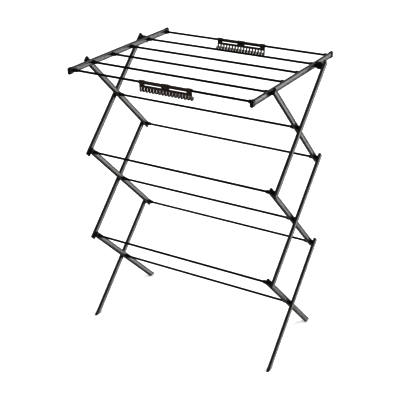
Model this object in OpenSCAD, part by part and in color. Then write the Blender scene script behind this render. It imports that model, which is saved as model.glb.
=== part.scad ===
// Free-standing folding laundry rack: three stacked pairs of crossed flat-oval
// tube arms on each side, steel hanging rods between the sides, and a lift-up
// top tray that hinges on the front arm tops and hooks on the rear ones.
// X runs along the hanging rods, -Y is the front, +Z is up, the floor is z = 0.
// All sizes are millimetres.

/* [Sides] */
// Distance between neighbouring pivots along an arm
arm_pitch = 249; // [220:1:300]
// Angle of every arm above the floor when the rack stands open
open_angle = 44.1; // [40:0.1:50]
// Distance along a leg from its crossing pivot to the floor
foot_reach = 262.7; // [230:0.1:316]
// Clear width between the two inner arms
inside_width = 723; // [600:1:870]
// Arm length beyond its end pivot, without the plug
arm_overhang = 14; // [12:0.5:17]

/* [Tube] */
// Width of the flat-oval tube seen from the side
tube_w = 22; // [20:0.5:27]
// Thickness of the flat-oval tube along X
tube_t = 10; // [9.5:0.5:12]
// Wall thickness of the tube
tube_wall = 1; // [0.8:0.1:1.2]
// Gap between the inner and the outer arm of a side
layer_gap = 6.6; // [5:0.1:9]

/* [Rods] */
// Radius of every hanging rod
rod_r = 3.5; // [2.6:0.1:3.9]
// Length of the ferrule sleeve on a rod's end
ferrule_len = 16; // [10:0.5:22]
// Outer radius of the ferrule sleeve
ferrule_r = 6.5; // [5.8:0.1:8]
// Outer radius of the spacers between tubes
spacer_r = 7.6; // [6:0.1:9.2]

/* [Tray] */
// Gap between a tray rail and the inner arm beside it
rail_gap = 7.4; // [5:0.1:10]
// Distance from the tray's hinge rod to its front rod
front_rod_reach = 110.5; // [90:0.5:135]
// Distance from the hooked rod to the tray's rear rod
rear_rod_reach = 126.7; // [100:0.1:152]
// Rail length beyond the last rod at each end
rail_overhang = 20; // [18:0.5:26]

/* [Hanger combs] */
// Length of a clip-on hanger comb
comb_len = 200; // [160:1:240]
// Number of hooks on a comb
comb_hooks = 17; // [12:1:19]
// Height from the rod's axis down to the bottom of the hooks
comb_drop = 35; // [32:0.5:42]
// Middle of the front comb along its rod
front_comb_x = 25; // [-100:1:100]
// Middle of the rear comb along its rod
rear_comb_x = -9; // [-100:1:100]

/* [Hidden] */
$fn = 40;
// clearances
press_gap = 0.02;
run_gap = 0.06;
face_gap = 0.35;
// how far cutting shapes run past the faces that they cut
cut = 1;
// larger than any side of the rack
far = 1200;
// how far the tube's flats lie inside its round edges
flat_relief = 0.02;
// how far the crossing pivots stand in front of the origin
cross_y = (front_rod_reach - rear_rod_reach) / 2;

// one stage of the linkage
half_d = arm_pitch * cos(open_angle);
half_h = arm_pitch * sin(open_angle);
cross_z = foot_reach * sin(open_angle);

// pivot axes as [y, z], from the legs' crossing upward
leg_cross = [cross_y, cross_z];
low_front = [cross_y - half_d, cross_z + half_h];
low_rear = [cross_y + half_d, cross_z + half_h];
mid_cross = [cross_y, cross_z + 2 * half_h];
high_front = [cross_y - half_d, cross_z + 3 * half_h];
high_rear = [cross_y + half_d, cross_z + 3 * half_h];
top_cross = [cross_y, cross_z + 4 * half_h];
tray_pivot = [cross_y - half_d, cross_z + 5 * half_h];
tray_rest = [cross_y + half_d, cross_z + 5 * half_h];

// layers along X on the right-hand side, from the inside out
inner_x0 = inside_width / 2;
inner_x1 = inner_x0 + tube_t;
outer_x0 = inner_x1 + layer_gap;
outer_x1 = outer_x0 + tube_t;
rail_x1 = inner_x0 - rail_gap;
rail_x0 = rail_x1 - tube_t;
rail_ferrule_len = ferrule_len - 1;

// pivot hardware
neck_r = 5;
neck_stop = 1.9;
rod_end_gap = 2.6;
spacer_chamfer = 0.8;
// relief around the rod in a ferrule's mouth
mouth_t = 1.2;
mouth_gap = 0.7;

// plugs and feet
plug_cap = 2;
plug_len = 5.5;
plug_gap = 0.05;
// how far a plug's cap stands back from the tube's outline
plug_inset = 0.1;
sole_t = 3;
foot_plug_h = 22;

// rail boots
boot_wall = 1.4;
boot_end = 2;
boot_len = 12;

// tray hooks and pegs
hook_r = 11;
hook_plate = 2;
hook_tail = 6;
hook_mouth_angle = 24.6;
// room for the peg at the hook's mouth, and the hook's lip behind it
hook_mouth_gap = 0.3;
hook_lip_gap = 0.4;
peg_r = 6;
peg_collar_r = 8;
peg_collar_t = 7;
peg_end_gap = 1;
hook_x1 = outer_x0 - peg_collar_t - 2 * face_gap;

// tray rods, from rear to front, as y positions
tray_z = tray_pivot[1];
tray_step = (tray_rest[0] - tray_pivot[0]) / 3;
tray_y = [
    tray_rest[0] + rear_rod_reach,
    tray_rest[0],
    tray_rest[0] - tray_step,
    tray_pivot[0] + tray_step,
    tray_pivot[0],
    tray_pivot[0] - front_rod_reach
];
rail_y0 = tray_y[5] - rail_overhang;
rail_y1 = tray_y[0] + rail_overhang;

// comb section, measured from the rod's axis
comb_gap = 0.08;
comb_shell = 1.9;
// how far round past the rod's middle the clip's front lip reaches
clip_lip = 0.9;
comb_boss = 3.4;
comb_end_w = 19;
comb_mid_w = 29;
comb_plate_t = 3;
// how far below the rod the plate starts
plate_gap = 0.3;
comb_window_top = 5.2;
comb_window_h = 4.8;
comb_bar_h = 7.3;
// bead along the lower bar: how far it stands out and how much lower than the bar it is
comb_bead = 0.8;
comb_bead_drop = 1;
comb_hook_w = 4.6;
comb_hook_t = 2.6;
// outer corner radius of a hook, and how far its tip stands from its stem
comb_hook_r = 4.5;
comb_hook_reach = 11;
comb_tip_h = 13;
comb_tip_round = 1;
comb_tip_taper = 0.4;

// colours
coat = [0.16, 0.16, 0.17];
rod_coat = [0.09, 0.09, 0.1];
moulding = [0.05, 0.05, 0.055];
comb_black = [0.07, 0.06, 0.06];

// ---------- shared shapes ----------

// Draws its children on the right-hand side and mirrored on the left.
module both_sides() {
    children();
    mirror([1, 0, 0]) children();
}

// Flat-oval outline, w across and t thick; the flats lie a hair inside the round edges.
module flat_oval(w, t) {
    square([t - 2 * flat_relief, w - t], center = true);
    for (s = [-1, 1])
        translate([0, s * (w - t) / 2])
            circle(r = t / 2);
}

// Cylinder along +X from x0 to x1 about the axis at p = [y, z].
module x_cyl(p, x0, x1, r) {
    translate([x0, p[0], p[1]])
        rotate([0, 90, 0])
            cylinder(r = r, h = x1 - x0);
}

// Puts local Z along an arm through p: lean = 1 rises to the rear, -1 to the front.
module along_arm(p, x_mid, lean) {
    translate([x_mid, p[0], p[1]])
        rotate([-lean * (90 - open_angle), 0, 0])
            children();
}

// Hollow arm from s0 to s1 along its length, about the pivot p.
module arm_tube(p, x_mid, lean, s0, s1) {
    along_arm(p, x_mid, lean)
        translate([0, 0, s0])
            linear_extrude(height = s1 - s0)
                difference() {
                    flat_oval(tube_w, tube_t);
                    flat_oval(tube_w - 2 * tube_wall, tube_t - 2 * tube_wall);
                }
}

// Solid prism with the tube's outline less `less` all round, from s0 to s1.
module arm_core(p, x_mid, lean, s0, s1, less) {
    along_arm(p, x_mid, lean)
        translate([0, 0, s0])
            linear_extrude(height = s1 - s0)
                flat_oval(tube_w - 2 * less, tube_t - 2 * less);
}

// ---------- arms ----------

inner_mid = (inner_x0 + inner_x1) / 2;
outer_mid = (outer_x0 + outer_x1) / 2;
arm_end = arm_pitch + arm_overhang;

// Full inner arm: bored through both walls where its rods pass.
module inner_arm(p, pivots) {
    difference() {
        arm_tube(p, inner_mid, -1, -arm_end, arm_end);
        for (q = pivots)
            x_cyl(q, inner_x0 - cut, inner_x1 + cut, neck_r + press_gap);
    }
}

// Full outer arm: bored through its inner wall only.
module outer_arm(p, pivots) {
    difference() {
        arm_tube(p, outer_mid, 1, -arm_end, arm_end);
        for (q = pivots)
            x_cyl(q, outer_x0 - cut, outer_mid, neck_r + press_gap);
    }
}

// Takes away everything below the given height.
module cut_below(z) {
    difference() {
        children();
        translate([-far / 2, -far / 2, z - far])
            cube(far);
    }
}

// Leg that runs on to the floor and is cut level above its foot.
module leg(p, x_mid, lean) {
    cut_below(sole_t)
        arm_tube(p, x_mid, lean, -foot_reach - tube_w, arm_end);
}

module rear_leg_shape() {
    difference() {
        leg(leg_cross, inner_mid, -1);
        for (q = [leg_cross, low_front])
            x_cyl(q, inner_x0 - cut, inner_x1 + cut, neck_r + press_gap);
    }
}

module front_leg_shape() {
    difference() {
        leg(leg_cross, outer_mid, 1);
        for (q = [leg_cross, low_rear])
            x_cyl(q, outer_x0 - cut, outer_mid, neck_r + press_gap);
    }
}

// The top inner arm's tray pivot is bored through the inner wall only.
module top_inner_shape() {
    difference() {
        inner_arm(top_cross, [top_cross, high_rear]);
        x_cyl(tray_pivot, inner_x0 - cut, inner_mid, neck_r + press_gap);
    }
}

module rear_leg_left() color(coat) mirror([1, 0, 0]) rear_leg_shape();
module rear_leg_right() color(coat) rear_leg_shape();
module front_leg_left() color(coat) mirror([1, 0, 0]) front_leg_shape();
module front_leg_right() color(coat) front_leg_shape();

module mid_inner_arm_left()
    color(coat) mirror([1, 0, 0]) inner_arm(mid_cross, [high_front, mid_cross, low_rear]);
module mid_inner_arm_right()
    color(coat) inner_arm(mid_cross, [high_front, mid_cross, low_rear]);
module mid_outer_arm_left()
    color(coat) mirror([1, 0, 0]) outer_arm(mid_cross, [low_front, mid_cross, high_rear]);
module mid_outer_arm_right()
    color(coat) outer_arm(mid_cross, [low_front, mid_cross, high_rear]);

module top_inner_arm_left() color(coat) mirror([1, 0, 0]) top_inner_shape();
module top_inner_arm_right() color(coat) top_inner_shape();
module top_outer_arm_left()
    color(coat) mirror([1, 0, 0]) outer_arm(top_cross, [high_front, top_cross, tray_rest]);
module top_outer_arm_right()
    color(coat) outer_arm(top_cross, [high_front, top_cross, tray_rest]);

// ---------- rods of the sides ----------

// Rod that ends inside the outer arms and carries them.
module side_rod(p) {
    color(rod_coat)
        x_cyl(p, -(outer_x1 - rod_end_gap), outer_x1 - rod_end_gap, rod_r);
}

module leg_cross_rod() side_rod(leg_cross);
module low_front_rod() side_rod(low_front);
module low_rear_rod() side_rod(low_rear);
module mid_cross_rod() side_rod(mid_cross);
module high_front_rod() side_rod(high_front);
module high_rear_rod() side_rod(high_rear);
module top_cross_rod() side_rod(top_cross);

// Ferrule on a rod's end: a sleeve against the inner arm and a neck through it.
module arm_ferrule(p) {
    difference() {
        union() {
            x_cyl(p, inner_x0 - ferrule_len, inner_x0 - press_gap, ferrule_r);
            x_cyl(p, inner_x0 - cut, inner_x1 - press_gap, neck_r);
        }
        x_cyl(p, inner_x0 - ferrule_len - cut, inner_x1 + cut, rod_r + press_gap);
        x_cyl(p, inner_x0 - ferrule_len - cut, inner_x0 - ferrule_len + mouth_t, rod_r + mouth_gap);
    }
}

module leg_ferrules()
    color(moulding) both_sides() for (q = [leg_cross, low_front]) arm_ferrule(q);
module mid_ferrules()
    color(moulding) both_sides() for (q = [low_rear, mid_cross, high_front]) arm_ferrule(q);
module top_ferrules()
    color(moulding) both_sides() for (q = [high_rear, top_cross]) arm_ferrule(q);

// Spacer ring between two tubes, from x0 to x1, its edges relieved.
module spacer(p, x0, x1) {
    difference() {
        union() {
            x_cyl(p, x0, x1, spacer_r - spacer_chamfer);
            x_cyl(p, x0 + spacer_chamfer, x1 - spacer_chamfer, spacer_r);
        }
        x_cyl(p, x0 - cut, x1 + cut, rod_r + press_gap);
    }
}

module layer_spacer(q) spacer(q, inner_x1 + press_gap, outer_x0 - face_gap);

module leg_spacers()
    color(moulding) both_sides() for (q = [leg_cross, low_front]) layer_spacer(q);
module mid_spacers()
    color(moulding) both_sides() for (q = [low_rear, mid_cross, high_front]) layer_spacer(q);
module top_spacers()
    color(moulding) both_sides() for (q = [high_rear, top_cross]) layer_spacer(q);
module tray_spacers()
    color(moulding) both_sides() spacer(tray_pivot, rail_x1 + press_gap, inner_x0 - face_gap);

// Bearing bush pressed into a tube's inner wall; the rod turns in it.
module bush(p, x0) {
    difference() {
        x_cyl(p, x0, x0 + tube_t - neck_stop, neck_r);
        x_cyl(p, x0 - cut, x0 + tube_t, rod_r + run_gap);
    }
}

module front_leg_bushes()
    color(moulding) both_sides() for (q = [leg_cross, low_rear]) bush(q, outer_x0);
module mid_outer_bushes()
    color(moulding)
        both_sides() for (q = [low_front, mid_cross, high_rear]) bush(q, outer_x0);
module top_outer_bushes()
    color(moulding) both_sides() for (q = [high_front, top_cross]) bush(q, outer_x0);
module tray_pivot_bushes()
    color(moulding) both_sides() bush(tray_pivot, inner_x0);

// ---------- plugs and feet ----------

// Plug in the end of an arm; end = 1 is the upper end, -1 the lower one.
module end_plug(p, x_mid, lean, end) {
    s0 = end > 0 ? arm_end + press_gap : -arm_end - plug_cap;
    s1 = end > 0 ? arm_end + plug_cap : -arm_end - press_gap;
    arm_core(p, x_mid, lean, s0, s1, plug_inset);
    t0 = end > 0 ? arm_end - plug_len : -arm_end - plug_cap / 2;
    t1 = end > 0 ? arm_end + plug_cap / 2 : -arm_end + plug_len;
    arm_core(p, x_mid, lean, t0, t1, tube_wall + plug_gap);
}

module rear_leg_plugs()
    color(moulding) both_sides() end_plug(leg_cross, inner_mid, -1, 1);
module front_leg_plugs()
    color(moulding) both_sides() end_plug(leg_cross, outer_mid, 1, 1);
module mid_inner_plugs()
    color(moulding) both_sides() for (e = [-1, 1]) end_plug(mid_cross, inner_mid, -1, e);
module mid_outer_plugs()
    color(moulding) both_sides() for (e = [-1, 1]) end_plug(mid_cross, outer_mid, 1, e);
module top_inner_plugs()
    color(moulding) both_sides() for (e = [-1, 1]) end_plug(top_cross, inner_mid, -1, e);
module top_outer_plugs()
    color(moulding) both_sides() for (e = [-1, 1]) end_plug(top_cross, outer_mid, 1, e);

// Foot: a level sole under the tube and a plug up inside it.
module foot(x_mid, lean) {
    intersection() {
        arm_core(leg_cross, x_mid, lean, -foot_reach - tube_w, -foot_reach + tube_w, 0);
        translate([-far / 2, -far / 2, 0])
            cube([far, far, sole_t - press_gap]);
    }
    intersection() {
        arm_core(leg_cross, x_mid, lean, -foot_reach - tube_w, -foot_reach + 2 * tube_w,
            tube_wall + plug_gap);
        translate([-far / 2, -far / 2, sole_t / 2])
            cube([far, far, foot_plug_h]);
    }
}

module rear_feet() color(moulding) both_sides() foot(inner_mid, -1);
module front_feet() color(moulding) both_sides() foot(outer_mid, 1);

// ---------- tray ----------

rail_mid = (rail_x0 + rail_x1) / 2;

// Flat-oval prism along Y with its wide side upright.
module rail_prism(y0, y1, w, t) {
    translate([rail_mid, y1, tray_z])
        rotate([90, 0, 0])
            linear_extrude(height = y1 - y0)
                flat_oval(w, t);
}

module tray_rail_shape() {
    difference() {
        rail_prism(rail_y0, rail_y1, tube_w, tube_t);
        rail_prism(rail_y0 - cut, rail_y1 + cut, tube_w - 2 * tube_wall, tube_t - 2 * tube_wall);
        for (y = tray_y)
            x_cyl([y, tray_z], rail_x0 - cut, rail_mid, neck_r + press_gap);
        x_cyl(tray_pivot, rail_mid, rail_x1 + cut, rod_r + press_gap);
        x_cyl(tray_rest, rail_mid, rail_x1 + cut, rod_r + press_gap);
    }
}

module tray_rail_left() color(coat) mirror([1, 0, 0]) tray_rail_shape();
module tray_rail_right() color(coat) tray_rail_shape();

// Tray rod with its ends at x = -x_end and x_end.
module tray_rod(i, x_end) {
    color(rod_coat)
        x_cyl([tray_y[i], tray_z], -x_end, x_end, rod_r);
}

module tray_rod_1() tray_rod(0, rail_x1 - neck_stop);
module tray_rod_2() tray_rod(1, rail_x1 - neck_stop);
module tray_rod_3() tray_rod(2, rail_x1 - neck_stop);
module tray_rod_4() tray_rod(3, rail_x1 - neck_stop);
module tray_rod_5() tray_rod(4, inner_x1 - rod_end_gap);
module tray_rod_6() tray_rod(5, rail_x1 - neck_stop);

// Ferrule of a tray rod: a sleeve against the rail and a neck through its inner wall.
module rail_ferrule(y) {
    difference() {
        union() {
            x_cyl([y, tray_z], rail_x0 - rail_ferrule_len, rail_x0 - press_gap, ferrule_r);
            x_cyl([y, tray_z], rail_x0 - cut, rail_x1 - neck_stop, neck_r);
        }
        x_cyl([y, tray_z], rail_x0 - ferrule_len - cut, rail_x1, rod_r + press_gap);
    }
}

module tray_ferrules()
    color(moulding) both_sides() for (y = tray_y) rail_ferrule(y);

// Boot over a rail's end; end = 1 is the rear one, -1 the front one.
module rail_cap(end) {
    y0 = end > 0 ? rail_y1 - boot_len : rail_y0 - boot_end;
    y1 = end > 0 ? rail_y1 + boot_end : rail_y0 + boot_len;
    c0 = end > 0 ? y0 - cut : rail_y0 - press_gap;
    c1 = end > 0 ? rail_y1 + press_gap : y1 + cut;
    difference() {
        rail_prism(y0, y1, tube_w + 2 * boot_wall, tube_t + 2 * boot_wall);
        rail_prism(c0, c1, tube_w + 2 * press_gap, tube_t + 2 * press_gap);
    }
}

module rail_front_caps() color(moulding) both_sides() rail_cap(-1);
module rail_rear_caps() color(moulding) both_sides() rail_cap(1);

// Hook on a rail's outer face: a cup over the peg, open downward and to the front.
module tray_hook_shape() {
    x0 = rail_x1 + press_gap;
    cup_r = peg_r + face_gap;
    mouth_w = 2 * (cup_r + press_gap);
    difference() {
        union() {
            x_cyl(tray_rest, x0, hook_x1, hook_r);
            translate([x0, tray_rest[0] + cup_r + hook_lip_gap, tray_z - hook_r - hook_tail])
                cube([hook_x1 - x0, hook_r - cup_r - 2 * hook_lip_gap, hook_r + hook_tail]);
            x_cyl(tray_rest, rail_x1 - tube_wall, x0 + hook_plate / 2, rod_r);
        }
        x_cyl(tray_rest, x0 + hook_plate, hook_x1 + cut, cup_r);
        translate([x0 + hook_plate, tray_rest[0], tray_rest[1]])
            rotate([-hook_mouth_angle, 0, 0])
                translate([0, -cup_r - hook_mouth_gap, -far])
                    cube([hook_x1 - x0, mouth_w + hook_mouth_gap / 2, far]);
    }
}

module tray_hook_left() color(moulding) mirror([1, 0, 0]) tray_hook_shape();
module tray_hook_right() color(moulding) tray_hook_shape();

// Peg on the outer arm's top, reaching inward under the tray's hook.
module hook_peg() {
    x_cyl(tray_rest, rail_x1 + hook_plate + peg_end_gap, outer_x0 - cut, peg_r);
    x_cyl(tray_rest, outer_x0 - peg_collar_t, outer_x0 - press_gap, peg_collar_r);
    x_cyl(tray_rest, outer_x0 - cut, outer_x1 - neck_stop, neck_r);
}

module hook_pegs() color(moulding) both_sides() hook_peg();

// ---------- hanger combs ----------

hook_steps = 7;
hook_pitch = (comb_len - comb_hook_w) / (comb_hooks - 1);

// One J hook in the plane across the rod, x = outward and y = up.
hook_in_r = comb_hook_r - comb_hook_t;
hook_cy = -comb_drop + comb_hook_r;
hook_near_x = comb_hook_r - comb_hook_t / 2;
hook_far_x = comb_hook_reach + comb_hook_t / 2 - comb_hook_r;
hook_root_y = -comb_window_top - comb_window_h - comb_bar_h / 2;
hook_tip_y = -comb_drop + comb_tip_h;
hook_outline = concat(
    [[-comb_hook_t / 2, hook_root_y]],
    [for (i = [0 : hook_steps])
        let (a = 180 + 90 * i / hook_steps)
            [hook_near_x + comb_hook_r * cos(a), hook_cy + comb_hook_r * sin(a)]],
    [for (i = [0 : hook_steps])
        let (a = 270 + 90 * i / hook_steps)
            [hook_far_x + comb_hook_r * cos(a), hook_cy + comb_hook_r * sin(a)]],
    [[comb_hook_reach + comb_hook_t / 2 - comb_tip_taper, hook_tip_y - comb_tip_round],
     [comb_hook_reach, hook_tip_y],
     [comb_hook_reach - comb_hook_t / 2 + comb_tip_taper, hook_tip_y - comb_tip_round]],
    [for (i = [0 : hook_steps])
        let (a = 360 - 90 * i / hook_steps)
            [hook_far_x + hook_in_r * cos(a), hook_cy + hook_in_r * sin(a)]],
    [for (i = [0 : hook_steps])
        let (a = 270 - 90 * i / hook_steps)
            [hook_near_x + hook_in_r * cos(a), hook_cy + hook_in_r * sin(a)]],
    [[comb_hook_t / 2, hook_root_y]]
);

// Extrudes a section drawn as x = outward and y = up along +X from x0.
module across(x0, w) {
    translate([x0, 0, 0])
        rotate([90, 0, 90])
            linear_extrude(height = w)
                children();
}

// Section of the clip: a C that grips the rod and is open below.
module clip_section(shell) {
    r_in = rod_r + comb_gap;
    difference() {
        circle(r = r_in + shell);
        circle(r = r_in);
        translate([clip_lip, -2 * rod_r - shell])
            square([2 * rod_r + shell, 2 * rod_r + shell]);
    }
}

// Comb hanging from the rod's axis, its hooks curling toward +Y.
module comb() {
    plate_top = -rod_r - comb_gap - plate_gap;
    window_low = -comb_window_top - comb_window_h;
    across(-comb_len / 2, comb_len) clip_section(comb_shell);
    for (x = [-comb_len / 2, comb_len / 2 - comb_end_w])
        across(x, comb_end_w) clip_section(comb_boss);
    across(-comb_mid_w / 2, comb_mid_w) clip_section(comb_boss);
    difference() {
        translate([-comb_len / 2, -comb_plate_t / 2, window_low - comb_bar_h])
            cube([comb_len, comb_plate_t, plate_top - window_low + comb_bar_h]);
        for (x = [-comb_len / 2 + comb_end_w, comb_mid_w / 2])
            translate([x, -comb_plate_t, window_low])
                cube([comb_len / 2 - comb_end_w - comb_mid_w / 2, 2 * comb_plate_t, comb_window_h]);
    }
    translate([-comb_len / 2, -comb_plate_t / 2 - comb_bead, window_low - comb_bar_h])
        cube([comb_len, comb_plate_t + 2 * comb_bead, comb_bar_h - comb_bead_drop]);
    for (i = [0 : comb_hooks - 1])
        across(-comb_len / 2 + i * hook_pitch, comb_hook_w)
            polygon(hook_outline);
}

module hanger_comb_front()
    color(comb_black)
        translate([front_comb_x, tray_y[5], tray_z])
            comb();
module hanger_comb_rear()
    color(comb_black)
        translate([rear_comb_x, tray_y[0], tray_z])
            mirror([0, 1, 0])
                comb();

rear_leg_left();
rear_leg_right();
front_leg_left();
front_leg_right();
mid_inner_arm_left();
mid_inner_arm_right();
mid_outer_arm_left();
mid_outer_arm_right();
top_inner_arm_left();
top_inner_arm_right();
top_outer_arm_left();
top_outer_arm_right();
leg_cross_rod();
low_front_rod();
low_rear_rod();
mid_cross_rod();
high_front_rod();
high_rear_rod();
top_cross_rod();
tray_rail_left();
tray_rail_right();
tray_rod_1();
tray_rod_2();
tray_rod_3();
tray_rod_4();
tray_rod_5();
tray_rod_6();
leg_ferrules();
mid_ferrules();
top_ferrules();
tray_ferrules();
leg_spacers();
mid_spacers();
top_spacers();
tray_spacers();
front_leg_bushes();
mid_outer_bushes();
top_outer_bushes();
tray_pivot_bushes();
rear_leg_plugs();
front_leg_plugs();
mid_inner_plugs();
mid_outer_plugs();
top_inner_plugs();
top_outer_plugs();
rear_feet();
front_feet();
rail_front_caps();
rail_rear_caps();
tray_hook_left();
tray_hook_right();
hook_pegs();
hanger_comb_front();
hanger_comb_rear();
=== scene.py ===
"""Looks of a free-standing folding laundry rack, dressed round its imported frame.

Everything is in metres. X runs along the hanging rods, -Y is the front, +Z is up
and the floor is z = 0. Places are worked out from the rack's driving sizes, as in the CAD.
"""

import logging
import math
from dataclasses import dataclass
from enum import Enum
from typing import Callable

import bmesh
import bpy
from mathutils import Matrix, Vector


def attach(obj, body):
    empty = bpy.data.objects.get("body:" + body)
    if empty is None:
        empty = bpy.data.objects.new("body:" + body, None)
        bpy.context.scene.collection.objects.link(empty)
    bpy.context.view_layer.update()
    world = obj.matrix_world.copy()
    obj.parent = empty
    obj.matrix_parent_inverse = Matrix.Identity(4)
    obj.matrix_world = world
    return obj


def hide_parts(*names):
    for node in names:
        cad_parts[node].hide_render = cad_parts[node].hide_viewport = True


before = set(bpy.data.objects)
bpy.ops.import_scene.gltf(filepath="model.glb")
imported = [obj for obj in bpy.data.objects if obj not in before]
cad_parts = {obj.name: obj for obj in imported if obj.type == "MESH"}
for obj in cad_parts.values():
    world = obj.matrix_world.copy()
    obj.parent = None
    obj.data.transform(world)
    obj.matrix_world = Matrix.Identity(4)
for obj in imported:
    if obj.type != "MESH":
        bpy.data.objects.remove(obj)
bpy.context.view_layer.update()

LOG = logging.getLogger("rack")
MM = 0.001

Colour = tuple[float, float, float, float]
Step = tuple[float, float, float]
WHITE: Colour = (1.0, 1.0, 1.0, 1.0)
SHARP_EDGE = math.radians(35.0)
SMOOTH_EDGE = math.radians(38.0)
QUARTER_TURN = math.pi / 2.0
ROUND_POINTS = 32


class Slot(Enum):
    """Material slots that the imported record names."""

    TUBE = "tube_coat"
    ROD = "rod_coat"
    MOULDING = "moulding"
    COMB = "comb_black"


# ---------------------------------------------------------------- shader parts


class NodeBench:
    """Places and links shader nodes in one node tree."""

    def __init__(self, tree: bpy.types.NodeTree) -> None:
        """Starts on an empty tree.

        Args:
            tree: the node tree of a material, a world or a group.
        """
        self.tree = tree
        self.tree.nodes.clear()

    def add(
        self, kind: str, inputs: dict[str | int, object] | None = None, **settings: object
    ) -> bpy.types.Node:
        """Adds a node and fills its inputs.

        Args:
            kind: the node's type name, such as ShaderNodeTexNoise.
            inputs: a socket to link or a plain value, by input name or number.
            settings: the node's own properties, which are set first.

        Returns:
            The new node.
        """
        node = self.tree.nodes.new(kind)
        for name, value in settings.items():
            setattr(node, name, value)
        for name, value in (inputs or {}).items():
            if isinstance(value, bpy.types.NodeSocket):
                self.link(value, node.inputs[name])
            else:
                node.inputs[name].default_value = value
        return node

    def link(self, source: bpy.types.NodeSocket, target: bpy.types.NodeSocket) -> None:
        """Links one socket to another."""
        self.tree.links.new(source, target)

    def maths(self, operation: str, *terms: object) -> bpy.types.NodeSocket:
        """Adds a maths node.

        Args:
            operation: what it does, such as MULTIPLY.
            terms: sockets or numbers, in the order of its inputs.

        Returns:
            Its result.
        """
        return self.add("ShaderNodeMath", dict(enumerate(terms)), operation=operation).outputs[0]

    def noise(self, vector: bpy.types.NodeSocket, scale: object, detail: float) -> bpy.types.NodeSocket:
        """Adds a noise texture.

        Args:
            vector: the coordinates that it reads.
            scale: noise cells per metre, a number or a socket.
            detail: octaves.

        Returns:
            Its value.
        """
        node = self.add("ShaderNodeTexNoise", {"Vector": vector, "Scale": scale, "Detail": detail})
        return node.outputs["Fac"]

    def remap(
        self,
        value: bpy.types.NodeSocket,
        source: tuple[float, float] = (0.0, 1.0),
        target: tuple[float, float] = (0.0, 1.0),
        curve: str = "LINEAR",
    ) -> bpy.types.NodeSocket:
        """Maps one range of a value onto another, held at both ends.

        Args:
            value: the socket that is mapped.
            source: the two values that become the target's.
            target: what they become.
            curve: the interpolation between them.

        Returns:
            The mapped socket.
        """
        ends = {"From Min": source[0], "From Max": source[1], "To Min": target[0], "To Max": target[1]}
        node = self.add("ShaderNodeMapRange", {"Value": value, **ends}, interpolation_type=curve)
        return node.outputs["Result"]


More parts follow.
